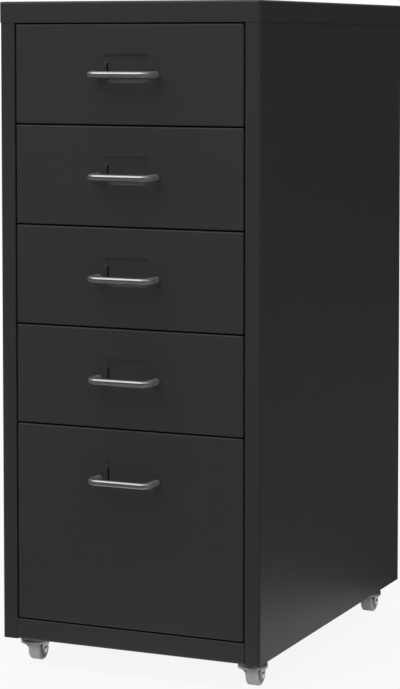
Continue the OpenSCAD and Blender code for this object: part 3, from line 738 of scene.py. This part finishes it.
def fork_cup(centre, radius, top, leg_in):
    """The cup: a round shoulder, a hole for the kingpin, and an opening at the rear."""
    bpy.ops.mesh.primitive_cylinder_add(
        vertices=CUP_SIDES, radius=radius * MM, depth=CUP_HEIGHT * MM, end_fill_type="NGON",
        location=Vector((centre.x, centre.y, top - CUP_HEIGHT / 2)) * MM)
    cup = settle(bpy.context.object, "front_left_stamped_fork")
    start_edit(cup)
    pick(cup, "FACE", lambda p: near(p.z, top - CUP_HEIGHT))
    bpy.ops.mesh.delete(type="FACE")
    pick(cup, "EDGE", lambda p: near(p.z, top))
    bpy.ops.mesh.bevel(offset=CUP_SHOULDER * MM, segments=7, affect="EDGES")
    pick(cup, "FACE", lambda p: near(p.z, top))
    bpy.ops.mesh.inset(thickness=(radius - CUP_SHOULDER - PIN_HOLE) * MM)
    bpy.ops.mesh.delete(type="FACE")
    # Open at the rear, where the wheel comes through
    opening_top = top - FORK_SHEET - OPENING_DROP

    def behind(p):
        return p.y > centre.y + OPENING_FROM

    cut(cup, 0, (centre.x - leg_in, centre.x + leg_in), behind)
    cut(cup, 2, (opening_top,), behind)
    pick(cup, "FACE", lambda p: behind(p) and abs(p.x - centre.x) < leg_in
         and p.z < opening_top)
    bpy.ops.mesh.delete(type="FACE")
    face_outwards(cup)
    end_edit()
    add_thickness(cup, FORK_SHEET, -1.0, True)
    add_bevel(cup, CUP_EDGE)
    return cup


def fork_leg(centre, radius, top, leg_in, foot, axle, knee):
    """The leg on the right: a round foot, then a step outwards and up to the cup."""
    rim = top - CUP_HEIGHT
    front, back = axle.y - foot, axle.y + foot
    out = leg_in + FORK_SHEET
    back_at_knee = centre.y + math.sqrt(radius ** 2 - out ** 2)
    back_at_rim = centre.y + math.sqrt(radius ** 2 - (out + LEG_STEP) ** 2)
    front_at_rim = centre.y - LEG_FRONT
    front_at_knee = front + (front_at_rim - front) * (knee - axle.z) / (rim - axle.z)
    bpy.ops.mesh.primitive_plane_add(
        size=1, location=Vector((centre.x + leg_in, axle.y, axle.z - foot / 2)) * MM,
        rotation=(0, math.pi / 2, 0))
    leg = bpy.context.object
    leg.scale = (foot * MM, 2 * foot * MM, 1)
    settle(leg, "fork_leg")
    start_edit(leg)
    for z0, z1, front_step, back_step, side_step in (
            (axle.z, knee, front_at_knee - front, back_at_knee - back, 0),
            (knee, rim, front_at_rim - front_at_knee, back_at_rim - back_at_knee, LEG_STEP),
            (rim, top - FORK_SHEET / 2, 0, 0, 0)):
        pick(leg, "EDGE", lambda p: near(p.z, z0))
        extrude(side_step, 0, z1 - z0)
        pick(leg, "VERT", lambda p: near(p.z, z1) and p.y < axle.y)
        push(0, front_step, 0)
        pick(leg, "VERT", lambda p: near(p.z, z1) and p.y > axle.y)
        push(0, back_step, 0)
    pick(leg, "VERT", lambda p: near(p.z, axle.z - foot))
    bpy.ops.mesh.bevel(offset=FOOT_ROUNDING * foot * MM, segments=12, affect="VERTICES")
    pick(leg, "EDGE", lambda p: near(p.z, knee) or near(p.z, rim))
    bpy.ops.mesh.bevel(offset=KNEE_BEND * MM, segments=4, affect="EDGES")
    pick(leg, "VERT")
    bpy.ops.mesh.remove_doubles(threshold=1e-5)
    end_edit()
    add_thickness(leg, FORK_SHEET, 1.0, True)
    start_edit(leg)
    face_outwards(leg)
    end_edit()
    add_bevel(leg, LEG_EDGE)
    return leg


def stamped_fork():
    """A fork: a cup with a round shoulder and two stepped legs with round feet."""
    low, high = box_mm("caster_front_left_fork")
    axle_low, axle_high = box_mm("caster_front_left_axle")
    wheel_low, wheel_high = box_mm("caster_front_left_wheel")
    radius = (high.x - low.x) / 2
    centre = Vector(((low.x + high.x) / 2, low.y + radius, 0))
    axle = (axle_low + axle_high) / 2
    leg_in = (wheel_high.x - wheel_low.x) / 2 + LEG_CLEARANCE
    cup = fork_cup(centre, radius, high.z, leg_in)
    knee = axle_high.z + KNEE_CLEARANCE
    right = fork_leg(centre, radius, high.z, leg_in, axle.z - low.z, axle, knee)
    left = copied(right, "fork_leg_left", 0, 0, 0)
    start_edit(left)
    pick(left, "FACE")
    bpy.ops.transform.resize(value=(-1, 1, 1), center_override=centre * MM)
    face_outwards(left)
    end_edit()
    activate(cup)
    left.select_set(True)
    right.select_set(True)
    bpy.ops.object.join()
    start_edit(cup)
    pick(cup, "VERT")
    bpy.ops.mesh.dissolve_degenerate(threshold=2 * WELD)
    end_edit()
    flat = cup.data.uv_layers.new(name=SIDE_MAP)
    for loop in cup.data.loops:
        p = cup.data.vertices[loop.vertex_index].co / MM
        flat.data[loop.index].uv = (p - axle).yz / SIDE_MAP_MM
    return cup


def make_casters():
    wheel, fork = moulded_wheel(), stamped_fork()
    first = box_mm("caster_front_left_axle")[0]
    for corner in CORNERS:
        step = box_mm(f"caster_{corner}_axle")[0] - first
        if corner == CORNERS[0]:
            its_wheel, its_fork = wheel, fork
        else:
            its_wheel = copied(wheel, f"{corner}_moulded_wheel", *step)
            its_fork = copied(fork, f"{corner}_stamped_fork", *step)
        dress(its_wheel, f"{corner}_wheel", f"caster_{corner}_wheel", "wheel_grey")
        dress(its_fork, f"{corner}_swivel", f"caster_{corner}_fork", "caster_zinc", fork_finish)


make_drawer_faces()
make_pulls()
make_casters()


# Stage

def emission_where_seen(tree, share):
    """The share for rays from the camera, gloss or glass, and 0 for those that light."""
    path = tree.nodes.new("ShaderNodeLightPath")
    seen = maths(tree, "MAXIMUM", path.outputs["Is Camera Ray"], path.outputs["Is Glossy Ray"])
    seen = maths(tree, "MAXIMUM", seen, path.outputs["Is Transmission Ray"])
    return maths(tree, "MULTIPLY", seen, share)


def make_world():
    world = bpy.data.worlds.new("White studio")
    bpy.context.scene.world = world
    world.use_nodes = True
    tree = world.node_tree
    ground = tree.nodes["Background"]
    seen = emission_where_seen(tree, 1.0)
    tree.links.new(remap(tree, seen, 0.0, 1.0, FILL, 1.0), ground.inputs["Strength"])
    ground.inputs["Color"].default_value = WHITE


def make_floor():
    clear_selection()
    bpy.ops.mesh.primitive_circle_add(
        vertices=ROUND_STEPS, radius=FLOOR_RADIUS, fill_type="NGON", location=(0, 0, 0))
    floor = bpy.context.object
    floor.name = "studio_floor"
    pale = bpy.data.materials.new("Pale floor")
    pale.use_nodes = True
    tree = pale.node_tree
    shader = tree.nodes["Principled BSDF"]
    shader.inputs["Base Color"].default_value = FLOOR_PALE
    shader.inputs["Roughness"].default_value = 0.9
    glow = tree.nodes.new("ShaderNodeEmission")
    glow.inputs["Color"].default_value = WHITE
    # White by the floor's edge, so that the edge doesn't show
    reach = tree.nodes.new("ShaderNodeVectorMath")
    reach.operation = "LENGTH"
    tree.links.new(tree.nodes.new("ShaderNodeTexCoord").outputs["Object"], reach.inputs[0])
    share = remap(tree, reach.outputs["Value"], GLOW_FROM, FLOOR_RADIUS, FLOOR_GLOW, 1.0)
    blend = tree.nodes.new("ShaderNodeMixShader")
    tree.links.new(emission_where_seen(tree, share), blend.inputs[0])
    tree.links.new(shader.outputs[0], blend.inputs[1])
    tree.links.new(glow.outputs[0], blend.inputs[2])
    tree.links.new(blend.outputs[0], tree.nodes["Material Output"].inputs["Surface"])
    floor.data.materials.append(pale)


def dim_paint(name, colour):
    paint = bpy.data.materials.new(name)
    paint.use_nodes = True
    shader = paint.node_tree.nodes["Principled BSDF"]
    shader.inputs["Base Color"].default_value = colour
    shader.inputs["Roughness"].default_value = 1.0
    return paint


def make_dim_room():
    """The unlit floor and walls round the lit floor, which only gloss picks up."""
    clear_selection()
    bpy.ops.mesh.primitive_circle_add(
        vertices=ROUND_STEPS, radius=LIT_FLOOR, fill_type="NOTHING", location=(0, 0, ROOM_LIFT))
    room = settle(bpy.context.object, "dim_room")
    start_edit(room)
    pick(room, "EDGE")
    bpy.ops.mesh.extrude_region_move()
    wider = FLOOR_RADIUS / LIT_FLOOR
    bpy.ops.transform.resize(value=(wider, wider, 1), center_override=(0, 0, ROOM_LIFT))
    extrude(0, 0, ROOM_HEIGHT / MM)
    end_edit()
    room.data.materials.append(dim_paint("Dim floor", DIM_FLOOR))
    room.data.materials.append(dim_paint("Dim wall", DIM_WALL))
    for face in room.data.polygons:
        face.material_index = 1 if face.center.z > 2 * ROOM_LIFT else 0
    for ray in ("camera", "diffuse", "shadow", "transmission"):
        setattr(room, f"visible_{ray}", False)


def soft_lamp(name, place, aim, width, height, radiance):
    """A rectangular soft box at place that faces aim. A radiance of 1 is white."""
    data = bpy.data.lights.new(name, "AREA")
    data.shape = "RECTANGLE"
    data.size, data.size_y = width, height
    data.energy = radiance * math.pi * width * height
    lamp = bpy.data.objects.new(name, data)
    bpy.context.scene.collection.objects.link(lamp)
    lamp.location = place
    lamp.rotation_euler = (Vector(aim) - Vector(place)).to_track_quat("-Z", "Y").to_euler()


def make_camera():
    data = bpy.data.cameras.new("Camera")
    data.lens = CAMERA_LENS
    data.shift_y = CAMERA_SHIFT
    camera = bpy.data.objects.new("Camera", data)
    bpy.context.scene.collection.objects.link(camera)
    camera.location = CAMERA_AT
    camera.rotation_euler = (math.radians(90 - CAMERA_DIP), 0, math.radians(CAMERA_TURN))
    bpy.context.scene.camera = camera


make_world()
make_floor()
make_dim_room()
soft_lamp("Key", LAMP_AT, LAMP_AIM, *LAMP_SIZE, LAMP_RADIANCE)
make_camera()
bpy.context.scene.view_settings.view_transform = "Standard"
